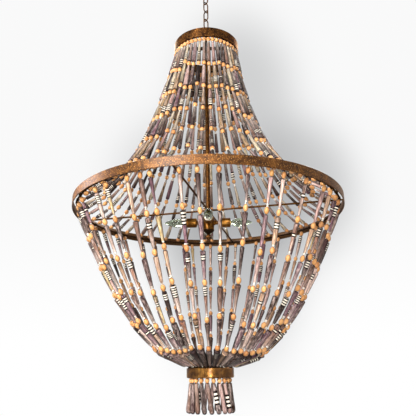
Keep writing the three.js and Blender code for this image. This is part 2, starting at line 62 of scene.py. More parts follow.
# Heights that the frame gives
RING_LOW, RING_HIGH = span("big_ring")
TOP_RING_LOW, TOP_RING_HIGH = span("top_ring")
BOTTOM_RING_LOW, BOTTOM_RING_HIGH = span("bottom_ring")
LIGHT_HEIGHT = sum(span("bulb_glass_1")) / 2

# The part's own sizes
SEAT = 0.3 * MM
RING_RADIUS = 350 * MM
RING_WALL = 2.5 * MM
TOP_RING_RADIUS = 94 * MM
BOTTOM_RING_RADIUS = 57 * MM
BOTTOM_RING_WALL = 2 * MM
BOTTOM_RING_LIP = 3.5 * MM
STRAND_WIRE = 1.1 * MM
SPOKE_TURN = math.radians(-13)
SPOKE_RADIUS = 2.5 * MM
COLLAR_RADIUS = 8 * MM
STEM_RADIUS = 5.5 * MM
STEM_BORE = 4 * MM

# The wire hoops that the strands and the tassel hang on
Hoop = namedtuple("Hoop", "radius height wire")
HOOP_WIRE = 5 * MM
SMALL_WIRE = 4 * MM
TOP_HOOP = Hoop(TOP_RING_RADIUS - RING_WALL - SEAT - HOOP_WIRE / 2, TOP_RING_LOW + 2.8 * MM,
                HOOP_WIRE)
STRAND_HOOP = Hoop(338 * MM, sum(span("strand_hoop")) / 2, HOOP_WIRE)
LOWER_HOOP = Hoop(50 * MM, BOTTOM_RING_HIGH + 4 * MM, SMALL_WIRE)
TASSEL_HOOP = Hoop(47 * MM, sum(span("tassel_hoop")) / 2, SMALL_WIRE)


# Scene: camera and lamps

FOCAL_LENGTH = 43.27
SENSOR = 36
CAMERA_ACROSS = -0.7 * MM
CAMERA_BACK = 1266.1 * MM
CAMERA_BELOW_RING = 388.6 * MM
CAMERA_PITCH = math.radians(17.915)
CAMERA_ROLL = math.radians(-0.7)

# Name, place, size and power
LAMPS = [("key", (-1.35, -2.5, 0.15), (1.2, 1.1), 142),
         ("fill", (1.8, -1.7, -1.3), (1.2, 1.6), 3),
         ("front_strip", (-0.02, -2.3, -0.9), (0.42, 1.4), 32),
         ("low_front", (-0.5, -1.5, -2.1), (1, 0.6), 18),
         ("left_edge", (-1.76, 0.31, -0.15), (0.7, 1), 38),
         ("left_back", (-0.5, 1.35, 0.8), (1.2, 0.8), 36),
         ("right_back", (1.2, 1.3, 0.5), (0.7, 0.8), 36)]


def add_object(name, data):
    made = bpy.data.objects.new(name, data)
    bpy.context.collection.objects.link(made)
    return made


def set_camera():
    data = bpy.data.cameras.new("camera")
    data.lens = FOCAL_LENGTH
    data.sensor_width = SENSOR
    camera = add_object("camera", data)
    place = Matrix.Translation((CAMERA_ACROSS, -CAMERA_BACK, RING_LOW - CAMERA_BELOW_RING))
    tilt = Matrix.Rotation(math.pi / 2 + CAMERA_PITCH, 4, "X")
    camera.matrix_world = place @ tilt @ Matrix.Rotation(CAMERA_ROLL, 4, "Z")
    bpy.context.scene.camera = camera


def set_lamp(name, place, size, power):
    """A lamp that is aimed at the big ring's middle. The camera doesn't see the lamp itself."""
    data = bpy.data.lights.new(name, "AREA")
    data.shape = "RECTANGLE"
    data.size, data.size_y = size
    data.energy = power
    lamp = add_object(name, data)
    lamp.location = place
    lamp.visible_camera = False
    aim = Vector((0, 0, RING_LOW)) - Vector(place)
    lamp.rotation_euler = aim.to_track_quat("-Z", "Y").to_euler()


# Materials

# What a metal reflects at a flat angle, so that its edges don't turn white
METAL_EDGE = (0.48, 0.42, 0.34, 1)


class Shader:
    """A node material in the making."""

    def __init__(self, name):
        self.material = bpy.data.materials.new(name)
        self.start(self.material, "OutputMaterial")

    def start(self, owner, output):
        owner.use_nodes = True
        self.tree = owner.node_tree
        self.tree.nodes.clear()
        self.output = self.node(output)

    def node(self, kind, inputs=None, **settings):
        made = self.tree.nodes.new("ShaderNode" + kind)
        for name, value in settings.items():
            setattr(made, name, value)
        for name, value in (inputs or {}).items():
            self.join(value, made.inputs[name])
        return made

    def join(self, value, socket):
        if isinstance(value, bpy.types.Node):
            value = value.outputs[0]
        if isinstance(value, bpy.types.NodeSocket):
            self.tree.links.new(value, socket)
        else:
            socket.default_value = value

    def maths(self, operation, *values, clamp=False):
        made = self.node("Math", operation=operation, use_clamp=clamp)
        for value, socket in zip(values, made.inputs):
            self.join(value, socket)
        return made.outputs[0]

    def times(self, first, second):
        return self.maths("MULTIPLY", first, second)

    def attribute(self, name, output="Fac"):
        return self.node("Attribute", attribute_name=name).outputs[output]

    def object_place(self):
        return self.node("TexCoord").outputs["Object"]

    def mix(self, share, first, second):
        made = self.node("Mix", {0: share}, data_type="RGBA")
        self.join(first, made.inputs[6])
        self.join(second, made.inputs[7])
        return made.outputs[2]

    def ramp(self, value, stops, interpolation="LINEAR"):
        made = self.node("ValToRGB", {0: value})
        made.color_ramp.interpolation = interpolation
        elements = made.color_ramp.elements
        while len(elements) < len(stops):
            elements.new(1)
        for element, (place, tone) in zip(elements, stops):
            element.position = place
            element.color = tone
        return made.outputs[0]

    def fade(self, value, first, last, start, end):
        """Goes from start to end as the value goes from first to last."""
        return self.ramp(value, [(first, (start, start, start, 1)), (last, (end, end, end, 1))])

    def between(self, value, low, high, first=0, last=1):
        """Goes from low to high as the value goes from first to last."""
        return self.node("MapRange", {"Value": value, "From Min": first, "From Max": last,
                                      "To Min": low, "To Max": high}).outputs[0]

    def noise(self, vector, scale, detail, roughness):
        inputs = {"Vector": vector, "Scale": scale, "Detail": detail, "Roughness": roughness}
        return self.node("TexNoise", inputs).outputs["Fac"]

    def drawn_noise(self, vector, scales, detail=3):
        """Noise with its own scale along each axis."""
        vector = self.node("Mapping", {"Vector": vector, "Scale": scales})
        return self.noise(vector, 1, detail, 0.6)

    def bump(self, height, strength, distance):
        return self.node("Bump", {"Height": height, "Strength": strength, "Distance": distance})

    def surface(self, base, roughness, **inputs):
        inputs = {name.replace("_", " "): value for name, value in inputs.items()}
        inputs |= {"Base Color": base, "Roughness": roughness}
        self.join(self.node("BsdfPrincipled", inputs), self.output.inputs[0])
        return self.material

    def metal(self, base, roughness, metallic, coat, coat_roughness, normal):
        return self.surface(
            base, roughness, Metallic=metallic, Specular_Tint=METAL_EDGE, Coat_Weight=coat,
            Coat_Roughness=coat_roughness, Normal=normal)


class World(Shader):
    """The light and tone all round the scene."""

    def __init__(self, name):
        world = bpy.data.worlds.new(name)
        bpy.context.scene.world = world
        self.start(world, "OutputWorld")


# What each multiple of a bead's seed decides
CHOICES = dict(fade=17.3, deep=23.9, cloud=37.9, first_ring=31.7, ring_width=57.3,
               ring_count=91.9, ringed=73.1, tip=43.3, wood_tone=43.7)
# Share of the spines that carry no rings
RINGLESS = 0.6


class BeadShader(Shader):
    """A bead's material. The mesh gives each bead's seed, and the share of its length."""

    def __init__(self, name):
        super().__init__(name)
        self.seed = self.attribute("seed")
        self.share = self.attribute("share")
        self.local = self.attribute("local", "Vector")

    def pick(self, choice):
        """A number from 0 to 1 that differs from bead to bead."""
        return self.maths("FRACT", self.times(self.seed, CHOICES[choice]))

    def edge_shade(self, body, depth, tone):
        """Darkens a rounded surface towards its outline, as the strands' close shadows do."""
        facing = self.node("LayerWeight", {"Blend": 0.5}).outputs["Facing"]
        share = self.maths("MULTIPLY", self.maths("POWER", facing, 1.7), depth, clamp=True)
        return self.mix(share, body, tone)


def colour(red, green, blue):
    """A colour given as it looks on a screen, from 0 to 255."""
    def linear(value):
        share = value / 255
        return share / 12.92 if share <= 0.04045 else ((share + 0.055) / 1.055) ** 2.4
    return (linear(red), linear(green), linear(blue), 1)


def tones(*stops):
    """A ramp's stops, each given as its place and a screen colour."""
    return [(place, colour(*screen)) for place, *screen in stops]


SPINE_KINDS = tones(
    (0, 20, 11, 8), (0.06, 182, 148, 108), (0.16, 226, 208, 174), (0.3, 58, 33, 20),
    (0.37, 140, 106, 90), (0.47, 30, 14, 12), (0.53, 212, 170, 160), (0.62, 132, 92, 104),
    (0.7, 66, 38, 38), (0.79, 214, 170, 132), (0.85, 230, 198, 182), (0.9, 166, 106, 74),
    (0.93, 118, 80, 94), (0.985, 236, 204, 140))


def spine_material():
    shader = BeadShader("spine")
    maths, times, mix, pick = shader.maths, shader.times, shader.mix, shader.pick
    share = shader.share
    kinds = shader.ramp(shader.seed, SPINE_KINDS, "CONSTANT")
    grain = shader.drawn_noise(shader.local, (900, 900, 60))
    cloud = shader.drawn_noise(shader.local, (300, 300, 90))
    # the thin end is paler on many spines, and the fat end darker
    pale = maths("POWER", maths("SUBTRACT", 1, share), 1.6)
    pale = times(pale, times(maths("POWER", pick("fade"), 1.4), 0.85))
    body = mix(pale, kinds, colour(230, 210, 194))
    deep = times(maths("POWER", share, 1.7), times(pick("deep"), 0.85))
    body = mix(deep, body, colour(34, 18, 14))
    # clouds and dark grain
    clouded = maths("MULTIPLY_ADD", pick("cloud"), 0.6, 0.05)
    clouded = mix(clouded, body, colour(232, 206, 196))
    body = mix(shader.fade(cloud, 0.42, 0.62, 0, 1), body, clouded)
    body = mix(shader.fade(grain, 0.4, 0.58, 0.8, 0), body, mix(0.85, body, colour(30, 17, 12)))
    # one to five rings near the fat end of some spines
    first = maths("MULTIPLY_ADD", pick("first_ring"), 0.16, 0.54)
    width = maths("MULTIPLY_ADD", pick("ring_width"), 0.03, 0.072)
    count = maths("FLOOR", maths("MULTIPLY_ADD", pick("ring_count"), 4.4, 1))
    step = maths("DIVIDE", maths("SUBTRACT", share, first), width)
    before_last = maths("LESS_THAN", step, maths("ADD", count, 0.5))
    inside = times(times(maths("GREATER_THAN", step, 0), before_last),
                   maths("GREATER_THAN", pick("ringed"), RINGLESS))
    light = maths("GREATER_THAN", maths("FRACT", step), 0.52)
    body = mix(inside, body, mix(light, colour(26, 15, 12), colour(236, 224, 206)))
    # the worn rim of the fat end, and the white tip of some thin ones
    body = mix(times(maths("GREATER_THAN", share, 0.975), 0.6), body, colour(40, 32, 34))
    tip = times(maths("LESS_THAN", share, 0.075), maths("GREATER_THAN", pick("tip"), 0.45))
    body = mix(times(tip, 0.9), body, colour(240, 230, 216))
    body = shader.edge_shade(body, 1.5, colour(12, 7, 5))
    return shader.surface(body, shader.between(grain, 0.34, 0.6), Specular_IOR_Level=0.06,
                          Normal=shader.bump(grain, 0.3, 0.0006))


def wood_material():
    shader = BeadShader("wood_bead")
    maths, mix = shader.maths, shader.mix
    kinds = tones((0, 208, 148, 84), (0.5, 220, 165, 104), (1, 190, 128, 72))
    tone = shader.ramp(shader.pick("wood_tone"), kinds)
    grain = shader.drawn_noise(shader.local, (700, 240, 120), 4)
    body = mix(shader.fade(grain, 0.38, 0.62, 0.8, 0), tone, mix(0.4, tone, colour(176, 104, 44)))
    # the drilled ends are darker
    ends = maths("ABSOLUTE", maths("SUBTRACT", shader.share, 0.5))
    body = mix(shader.times(maths("GREATER_THAN", ends, 0.45), 0.55), body, colour(120, 66, 30))
    body = shader.edge_shade(body, 1.15, colour(92, 48, 18))
    return shader.surface(body, 0.46, Specular_IOR_Level=0.35, Coat_Weight=0.05, Coat_Roughness=0.3,
                          Normal=shader.bump(grain, 0.15, 0.0004))


def mottled_metal(name, stops, fleck, metallic, roughness, size, dents, coat=0):
    """Metal with a leafed or rusted skin: patches of the stops' colours, with small flecks."""
    shader = Shader(name)
    place = shader.object_place()
    patches = shader.noise(place, 55 * size, 6, 0.68)
    fine = shader.noise(place, 330 * size, 3, 0.6)
    flecks = shader.node("TexVoronoi", {"Vector": place, "Scale": 340 * size}).outputs["Distance"]
    skin = shader.ramp(patches, tones(*stops))
    darker = shader.mix(0.6, skin, tones(*stops)[0][1])
    skin = shader.mix(shader.fade(fine, 0.44, 0.58, 0.7, 0), skin, darker)
    skin = shader.mix(shader.fade(flecks, 0.16, 0.34, 1, 0), skin, colour(*fleck))
    # the inner face of a band is darker, and marked so in the mesh
    skin = shader.mix(shader.times(shader.attribute("share"), 0.6), skin, colour(62, 42, 18))
    height = shader.maths("MULTIPLY_ADD", patches, 0.6, fine)
    return shader.metal(skin, shader.between(patches, *roughness), metallic, coat, 0.36,
                        shader.bump(height, dents, 0.0006))


def brushed_brass(name, sharp, dull, metallic, coat, lines):
    """Worn brass with brushed lines, duller where it is tarnished."""
    shader = Shader(name)
    place = shader.object_place()
    brushed = shader.drawn_noise(place, lines)
    tarnish = shader.noise(place, 60, 5, 0.65)
    skin = shader.ramp(tarnish, tones((0.3, 38, 20, 4), (0.5, 106, 66, 20), (0.72, 180, 128, 58)))
    skin = shader.mix(shader.fade(brushed, 0.4, 0.6, 0.55, 0), skin, colour(50, 29, 8))
    return shader.metal(skin, shader.between(tarnish, dull, sharp), metallic, coat, 0.14,
                        shader.bump(brushed, 0.2, 0.0003))


def plain_metal(name, screen, roughness):
    shader = Shader(name)
    smear = shader.noise(shader.object_place(), 120, 4, 0.6)
    tone = colour(*screen)
    dark = tuple(value * 0.55 for value in tone[:3]) + (1,)
    return shader.surface(
        shader.ramp(smear, [(0.35, dark), (0.6, tone)]),
        shader.between(smear, roughness + 0.14, roughness), Metallic=1,
        Normal=shader.bump(smear, 0.12, 0.0003))


def smeared(name, scale, detail, stops, **inputs):
    """A plain material with a faint smear in its colour."""
    shader = Shader(name)
    smear = shader.noise(shader.object_place(), scale, detail, 0.5)
    return shader.surface(shader.ramp(smear, tones(*stops)), 0.35, **inputs)


def make_materials():
    """The material of each finish, by the finish's name."""
    return {
        "spine": spine_material(),
        "wood": wood_material(),
        "bronze": mottled_metal(
            "bronze_metal",
            [(0.3, 18, 9, 3), (0.46, 54, 30, 11), (0.58, 90, 54, 22), (0.72, 130, 84, 38)],
            (160, 106, 52), 0.94, (0.3, 0.5), 1, 0.45, 0.06),
        "gold": mottled_metal(
            "gold_brown_metal",
            [(0.3, 28, 14, 3), (0.44, 70, 40, 11), (0.58, 104, 63, 21), (0.74, 132, 85, 32)],
            (170, 120, 60), 0.96, (0.5, 0.66), 1, 0.42, 0.3),
        "iron": mottled_metal(
            "dark_iron", [(0.3, 12, 7, 4), (0.55, 32, 20, 10), (0.75, 60, 38, 19)],
            (76, 48, 25), 0.9, (0.45, 0.65), 1.4, 0.3),
        "old_bronze": mottled_metal(
            "old_bronze",
            [(0.3, 22, 11, 4), (0.46, 52, 29, 11), (0.58, 82, 50, 21), (0.72, 114, 74, 36)],
            (136, 92, 44), 0.94, (0.34, 0.5), 1, 0.3),
        "brass": brushed_brass("bright_brass", 0.22, 0.32, 0.98, 0.3, (260, 260, 9)),
        "old_brass": brushed_brass("aged_brass", 0.32, 0.46, 0.96, 0.05, (14, 14, 900)),
        "nickel": plain_metal("plated_steel", (204, 200, 192), 0.22),
        "bulb_brass": plain_metal("bulb_base_brass", (206, 170, 98), 0.25),
        "porcelain": smeared(
            "socket_porcelain", 160, 3, [(0.3, 196, 186, 166), (0.6, 232, 226, 210)],
            Coat_Weight=0.4),
        "glass": Shader("clear_glass").surface(
            (0.56, 0.6, 0.52, 1), 0, IOR=1.22, Transmission_Weight=1),
        "filament": smeared(
            "filament", 400, 2, [(0.3, 120, 112, 100), (0.7, 190, 184, 172)], Metallic=0.9),
    }


# Mesh making

WELD_GAP = 1e-6


def polar(azimuth, radius=1, height=0):
    """The point at an azimuth, a distance from the axis and a height."""
    return np.array((radius * math.cos(azimuth), radius * math.sin(azimuth), height))


def sideways(azimuth):
    """The direction across an azimuth."""
    return np.array((-math.sin(azimuth), math.cos(azimuth), 0))


def scaled(shares, radius, start, length):
    """(radius, height) pairs from pairs of shares."""
    return [(wide * radius, start + share * length) for wide, share in shares]


def unlike(direction):
    """An axis that a direction doesn't run along."""
    return np.array((0.0, 0.0, 1.0) if abs(direction[2]) < 0.9 else (1.0, 0.0, 0.0))


class Skin:
    """Gathers rings of points into one mesh, with each point's place in its own bead."""

    def __init__(self):
        self.points, self.faces, self.count = [], [], 0
        self.local, self.share, self.seed = [], [], []

    def add(self, points, local, share, seed):
        """Adds points, and says where the first of them stands in the list."""
        first = self.count
        self.points.append(points.reshape(-1, 3))
        self.local.append(local.reshape(-1, 3))
        self.share.append(share)
        self.count += len(self.points[-1])
        self.seed.append(np.full(self.count - first, seed))
        return first

    def quads(self, first, rows, columns, rows_close, columns_close, order):
        """Faces over a grid of points, which may close on itself either way."""
        for i in range(rows if rows_close else rows - 1):
            here, there = first + i * columns, first + (i + 1) % rows * columns
            for j in range(columns if columns_close else columns - 1):
                after = (j + 1) % columns
                face = here + j, here + after, there + after, there + j
                self.faces.append([face[k] for k in order])

    def rings(self, rings, local, share, seed, closed=False):
        """rings is an array of steps by sides by 3. Each ring is joined to the next."""
        steps, sides, _ = rings.shape
        first = self.add(rings, local, np.repeat(share, sides), seed)
        self.quads(first, steps, sides, closed, True, (0, 1, 2, 3))
        if not closed:
            self.faces.append(tuple(range(first + sides - 1, first - 1, -1)))
            last = first + (steps - 1) * sides
            self.faces.append(tuple(range(last, last + sides)))

    def bead(self, start, end, outline, sides=14, seed=0, ridge=0, lobe=0, roll=0, first=0):
        """A turned bead from point to point. outline is (share of the length, radius) pairs, and
        first is the share that the material sees at its start."""
        along = end - start
        length = np.linalg.norm(along)
        along = along / length
        across = np.cross(unlike(along), along)
        across /= np.linalg.norm(across)
        outward = np.cross(along, across)
        share, radius = np.array(outline).T
        angle = roll + TURN * np.arange(sides) / sides
        wave = 1 + ridge * np.where(np.arange(sides) % 2 == 0, 1, -1) + lobe * np.cos(3 * angle)
        x = radius[:, None] * (wave * np.cos(angle))
        y = radius[:, None] * (wave * np.sin(angle))
        z = np.broadcast_to((share * length)[:, None], x.shape)
        local = np.stack([x, y, z + seed * 3], axis=-1)
        place = start + x[..., None] * across + y[..., None] * outward + z[..., None] * along
        self.rings(place, local, first + (1 - first) * share, seed)

    def sweep(self, path, radius, sides=6, closed=False, side=None):
        """A wire along a list of points. side is the way that its first side faces."""
        path = np.array(path, dtype=float)
        if closed:
            along = np.roll(path, -1, axis=0) - np.roll(path, 1, axis=0)
        else:
            along = np.gradient(path, axis=0)
        along /= np.linalg.norm(along, axis=1)[:, None]
        if side is None:
            side = unlike(along[0])
        side = np.broadcast_to(np.array(side, dtype=float), path.shape)
        across = side - along * np.sum(side * along, axis=1)[:, None]
        across /= np.linalg.norm(across, axis=1)[:, None]
        outward = np.cross(along, across)
        angle = TURN * np.arange(sides) / sides
        x = (radius * np.cos(angle))[:, None]
        y = (radius * np.sin(angle))[:, None]
        place = path[:, None, :] + x * across[:, None, :] + y * outward[:, None, :]
        self.rings(place, place, np.linspace(0, 1, len(path)), 0.5, closed)

    def turned(self, outline, sides=48, axis="Z", closed=False):
        """A piece turned about the upright axis, or about the first light's, from (radius, height)
        pairs, listed with its skin on the left. A third number marks a point for the material."""
        angle = TURN * np.arange(sides) / sides
        radius, height = np.array([pair[:2] for pair in outline]).T
        x = np.cos(angle)[:, None] * radius
        y = np.sin(angle)[:, None] * radius
        z = np.broadcast_to(height, x.shape)
        place = np.stack([x, y, z] if axis == "Z" else [z, x, y + LIGHT_HEIGHT], axis=-1)
        marks = [pair[2] if len(pair) > 2 else 0 for pair in outline]
        first = self.add(place, place, np.tile(marks, sides), 0.5)
        self.quads(first, sides, len(outline), True, closed, (0, 3, 2, 1))

    def spin(self, angle):
        """Turns the points about the upright axis. The material's places stay."""
        turn = np.array((polar(angle), sideways(angle), (0, 0, 1)))
        self.points = [points @ turn for points in self.points]

    def piece(self, name, finish, node=None, body="fixture", slot=None, smooth=40):
        """The gathered mesh as a piece on a body, in place of the CAD node that is named."""
        mesh = bpy.data.meshes.new(name)
        mesh.from_pydata(np.concatenate(self.points).tolist(), [], self.faces)
        for label, kind, field, values in (
                ("seed", "FLOAT", "value", self.seed), ("share", "FLOAT", "value", self.share),
                ("local", "FLOAT_VECTOR", "vector", self.local)):
            layer = mesh.attributes.new(label, kind, "POINT")
            layer.data.foreach_set(field, np.concatenate(values).astype(np.float32).ravel())
        piece = add_object(name, mesh)
        mesh.materials.append(MATERIALS[finish])
        weld(mesh)
        mesh.shade_smooth()
        mesh.set_sharp_from_angle(angle=math.radians(smooth))
        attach(piece, body)
        if node:
            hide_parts(node)


def turned_piece(name, finish, node, outline, sides=48, body="fixture", closed=False, smooth=35):
    skin = Skin()
    skin.turned(outline, sides, closed=closed)
    skin.piece(name, finish, node, body, smooth=smooth)


def weld(mesh):
    """Joins points that fall together, as on a turned piece's axis, and faces outward."""
    work = bmesh.new()
    work.from_mesh(mesh)
    bmesh.ops.remove_doubles(work, verts=work.verts, dist=WELD_GAP)
    bmesh.ops.dissolve_degenerate(work, dist=WELD_GAP, edges=work.edges)
    bmesh.ops.recalc_face_normals(work, faces=work.faces)
    work.to_mesh(mesh)
    work.free()


def circle(hoop, steps, start=0, arc=TURN):
    """Points round a hoop, or along an arc of it with both of its ends."""
    return [polar(start + arc * i / steps, hoop.radius, hoop.height)
            for i in range(steps + (arc < TURN))]


# Strung beads

BEAD_PLAY = 0.4 * MM
THREAD_RADIUS = 0.7 * MM
HOOK_RADIUS = 0.8 * MM
HOOK_OFF = 0.9 * MM
HOOK_STEPS = 14
SPACER_LONG = 2.2 * MM
SPACER_GAP = 0.2 * MM
WOOD_SHARES = [(0, 0.26), (0.03, 0.42), (0.1, 0.6), (0.2, 0.79), (0.33, 0.95), (0.45, 1),
               (0.55, 1), (0.67, 0.95), (0.8, 0.79), (0.9, 0.6), (0.97, 0.42), (1, 0.26)]
# start and end are (radius, height). offsets, in degrees, belong to the strands from front on
UPPER = SimpleNamespace(
    name="upper_strands", count=48, wood=14.5 * MM, wood_radius=6 * MM, fat=5.6 * MM,
    thin=3.4 * MM, sag=87.5 * MM, sag_lean=-10 * MM, pull=27 * MM, pull_lean=13.1 * MM,
    hook=3.5 * MM, end_hook=3.5 * MM, ends_in_wood=True, spines=[1, 1, 1, 1, 1, 0.69, 0.69],
    growth=[1.05, 1.05, 1, 1, 1, 0.95, 0.9], fat_first=False, tones=(0, 0.74), power=1,
    turn=math.radians(-15), front=32,
    offsets=[3, 6, 2.3, -1.5, -0.3, -0.3, -1.9, -0.3, -0.3, -0.7, 0, -3, -2, -1.9],
    hoop=TOP_HOOP, start=(TOP_HOOP.radius - HOOP_WIRE / 6, TOP_HOOP.height),
    end=(STRAND_HOOP.radius - 2.95 * MM, STRAND_HOOP.height + 2.06 * MM))
LOWER = SimpleNamespace(
    name="lower_strands", count=44, wood=15.5 * MM, wood_radius=5.6 * MM, fat=5.5 * MM,
    thin=2.7 * MM, sag=93.1 * MM, sag_lean=6.9 * MM, pull=0, pull_lean=0,
    hook=1.5 * MM, end_hook=10 * MM, ends_in_wood=False, spines=[1, 1, 1, 1, 1, 1.08],
    growth=[1, 1, 1, 1.04, 1.14, 1.42], fat_first=True, tones=(0.3, 1), power=1.5,
    turn=math.radians(-13), front=26,
    offsets=[-3, -4.6, 1.2, 0.2, 3, 0.5, -3.9, -1.1, -3, -3.7, -1.5, -0.7, -3.8, -1, 2.8, 0.6,
             -0.5],
    hoop=LOWER_HOOP, end=(LOWER_HOOP.radius, LOWER_HOOP.height),
    start=(STRAND_HOOP.radius, STRAND_HOOP.height - HOOP_WIRE / 2 - SEAT - STRAND_WIRE / 2))
STRAND_JITTER = math.radians(1.9)
DRIFT_START = -3.894
QUARTERS = 4


def drift(i, kind):
    """How far a strand stands off its even space, as in the frame."""
    k = i - kind.front
    if 0 <= k < len(kind.offsets):
        return math.radians(kind.offsets[k])
    return STRAND_JITTER * math.sin(2.4 * i + 0.7 * math.sin(1.3 * i) + DRIFT_START)


class Strand:
    """The curve that one strand hangs in, found by the distance along it."""

    def __init__(self, kind, i):
        self.kind = kind
        self.azimuth = kind.turn + TURN * (i + 0.5) / kind.count
        self.drift = drift(i, kind)
        start, end = np.array(kind.start), np.array(kind.end)
        sag = kind.sag + kind.sag_lean * math.cos(self.azimuth)
        pull = kind.pull + kind.pull_lean * math.cos(self.azimuth)
        middle = (start + end) / 2 - np.array((2 * pull, 2 * sag))
        t = np.linspace(0, 1, 201)[:, None]
        self.curve = (1 - t) ** 2 * start + 2 * t * (1 - t) * middle + t ** 2 * end
        steps = np.linalg.norm(np.diff(self.curve, axis=0), axis=1)
        self.far = np.concatenate([[0], np.cumsum(steps)])
        self.length = self.far[-1]

    def at(self, distance):
        radius = np.interp(distance, self.far, self.curve[:, 0])
        height = np.interp(distance, self.far, self.curve[:, 1])
        inner = self.kind.hoop.radius
        reach = (radius - inner) / (STRAND_HOOP.radius - inner)
        return polar(self.azimuth + self.drift * max(0, reach) ** self.kind.power, radius, height)


def spine_outline(thin, fat, chance):
    """Outline of a spine from its thin end to its fat end. Three shapes, as the real ones have."""
    shape = chance.random()
    flare = 0.55 if shape < 0.4 else (1 if shape < 0.75 else 1.9)
    swell = 0.1 if shape < 0.4 else 0
    pairs = [(0, 0.6 * thin), (0.015, 0.95 * thin)]
    for share in (0.08, 0.2, 0.34, 0.48, 0.6, 0.7, 0.79, 0.86, 0.92):
        body = thin + (fat - thin) * share ** flare
        pairs.append((share, body * (1 + swell * math.sin(math.pi * share))))
    return pairs + [(0.955, 0.99 * fat), (0.98, 0.9 * fat), (0.994, 0.68 * fat), (1, 0.4 * fat)]


def wood_outline(radius):
    return [(share, radius * wide) for share, wide in WOOD_SHARES]


def string_beads(strand, spines, woods, wires, spacers, chance):
    """Puts the beads of one strand into the meshes that gather them."""
    kind, wood = strand.kind, strand.kind.wood
    shares = kind.spines
    beads = 2 * len(shares) + kind.ends_in_wood
    wood_count = beads - len(shares)
    at = kind.hook + BEAD_PLAY
    free = strand.length - kind.hook - kind.end_hook - wood_count * wood - (beads + 1) * BEAD_PLAY
    # the beads between the first and the last are slipped along, and the spines differ in length
    slip = chance.uniform(-4.5, 4.5) * MM
    longs = [share * chance.uniform(0.87, 1.13) for share in shares[:-1]]
    longs.append(shares[-1] * chance.uniform(0.84, 1.16))
    longs = [long * free / sum(longs) for long in longs]
    path = [strand.at(0)]
    for n in range(beads):
        if n % 2 == 0:
            shift = slip if 0 < n < beads - 1 else 0
            start, end = strand.at(at + shift), strand.at(at + shift + wood)
            outline = wood_outline(kind.wood_radius * chance.uniform(0.92, 1.06))
            woods.bead(start, end, outline, seed=chance.random(), roll=chance.uniform(0, TURN))
            at += wood + BEAD_PLAY
        else:
            long, growth = longs[n // 2], kind.growth[n // 2]
            ends = [at + (slip if n > 1 else 0), at + long + (slip if n < beads - 2 else 0)]
            if chance.random() < 0.5:
                # a small spacer takes up the spine's thin end
                thin_end = int(kind.fat_first)
                rim = ends[thin_end]
                ends[thin_end] = rim + (-SPACER_LONG if thin_end else SPACER_LONG)
                near, far = sorted((rim, ends[thin_end]))
                wide = chance.choice((2.5, 2.5, 2.9, 4.2)) * MM
                outline = [(0, 0.6 * wide), (0.2, wide), (0.8, wide), (1, 0.6 * wide)]
                spacers.bead(strand.at(near + SPACER_GAP), strand.at(far - SPACER_GAP), outline, 12)
            start, end = strand.at(ends[0]), strand.at(ends[1])
            if kind.fat_first:
                start, end = end, start
            fat = kind.fat * chance.uniform(0.84, 1.16) * growth
            thin = kind.thin * chance.uniform(0.85, 1.2) * growth
            spines.bead(
                start, end, spine_outline(thin, fat, chance), seed=chance.uniform(*kind.tones),
                ridge=0.03, lobe=chance.uniform(0, 0.07), roll=chance.uniform(0, TURN))
            at += long + BEAD_PLAY
        path.append(strand.at(at - BEAD_PLAY / 2))
    path.append(strand.at(strand.length))
    wires.sweep(path, THREAD_RADIUS)


def hook_round(wires, azimuth, hoop):
    """A wire ring that goes round a hoop, where a strand is hooked on."""
    centre = polar(azimuth, hoop.radius, hoop.height)
    size = hoop.wire / 2 + HOOK_OFF
    path = []
    for i in range(HOOK_STEPS):
        angle = TURN * i / HOOK_STEPS
        up = math.sin(angle) * np.array((0, 0, 1))
        path.append(centre + size * (math.cos(angle) * polar(azimuth) + up))
    wires.sweep(path, HOOK_RADIUS, closed=True, side=sideways(azimuth))


def make_strands(kind):
    per_quarter = kind.count // QUARTERS
    chance = random.Random(kind.name)
    hoop = kind.hoop
    for quarter in range(QUARTERS):
        spines, woods, wires, spacers = Skin(), Skin(), Skin(), Skin()
        start = kind.turn + quarter * TURN / QUARTERS
        wires.sweep(circle(hoop, 36, start, TURN / QUARTERS), hoop.wire / 2, 12)
        for k in range(per_quarter):
            strand = Strand(kind, quarter * per_quarter + k)
            string_beads(strand, spines, woods, wires, spacers, chance)
            hook_round(wires, strand.azimuth, hoop)
            hook_round(wires, strand.azimuth + strand.drift, STRAND_HOOP)
        node = f"{kind.name}_{quarter + 1}"
        spines.piece(f"{node}_spines", "spine", node, smooth=60)
        woods.piece(f"{node}_wood_beads", "wood", smooth=70)
        wires.piece(f"{node}_wires", "iron")
        spacers.piece(f"{node}_spacers", "porcelain")


# The tassel

PENDANT_PAIRS = 10
PENDANT_HOOK = 7.5 * MM
PENDANT_WOOD = 12 * MM
PENDANT_WOOD_RADIUS = 4.9 * MM
PENDANT_SPINE = 66 * MM
PENDANT_RADIUS = 6.2 * MM
# The pendants with rings: the pair's number, and which of the two
RINGED_PENDANTS = {(7, 1), (8, 1), (3, -1), (0, 1)}


def pendant_outline(chance):
    """A spine that hangs with its fat, rounded end down."""
    size = chance.uniform(0.93, 1.03) * PENDANT_RADIUS
    thin = chance.uniform(0.72, 0.86)
    pairs = [(0, 0.4), (0.015, thin), (0.15, thin + 0.05), (0.35, 0.5 * thin + 0.45),
             (0.55, 0.86), (0.72, 0.96), (0.84, 1), (0.92, 0.95), (0.965, 0.8), (0.99, 0.52),
             (1, 0.2)]
    return [(share, wide * size) for share, wide in pairs]


def pendant_seed(chance, ringed):
    """A seed for which the spine material has rings, or none."""
    seed = chance.uniform(0.31, 0.82)
    while (seed * CHOICES["ringed"] % 1 > RINGLESS) != ringed:
        seed = chance.uniform(0.31, 0.82)
    return seed


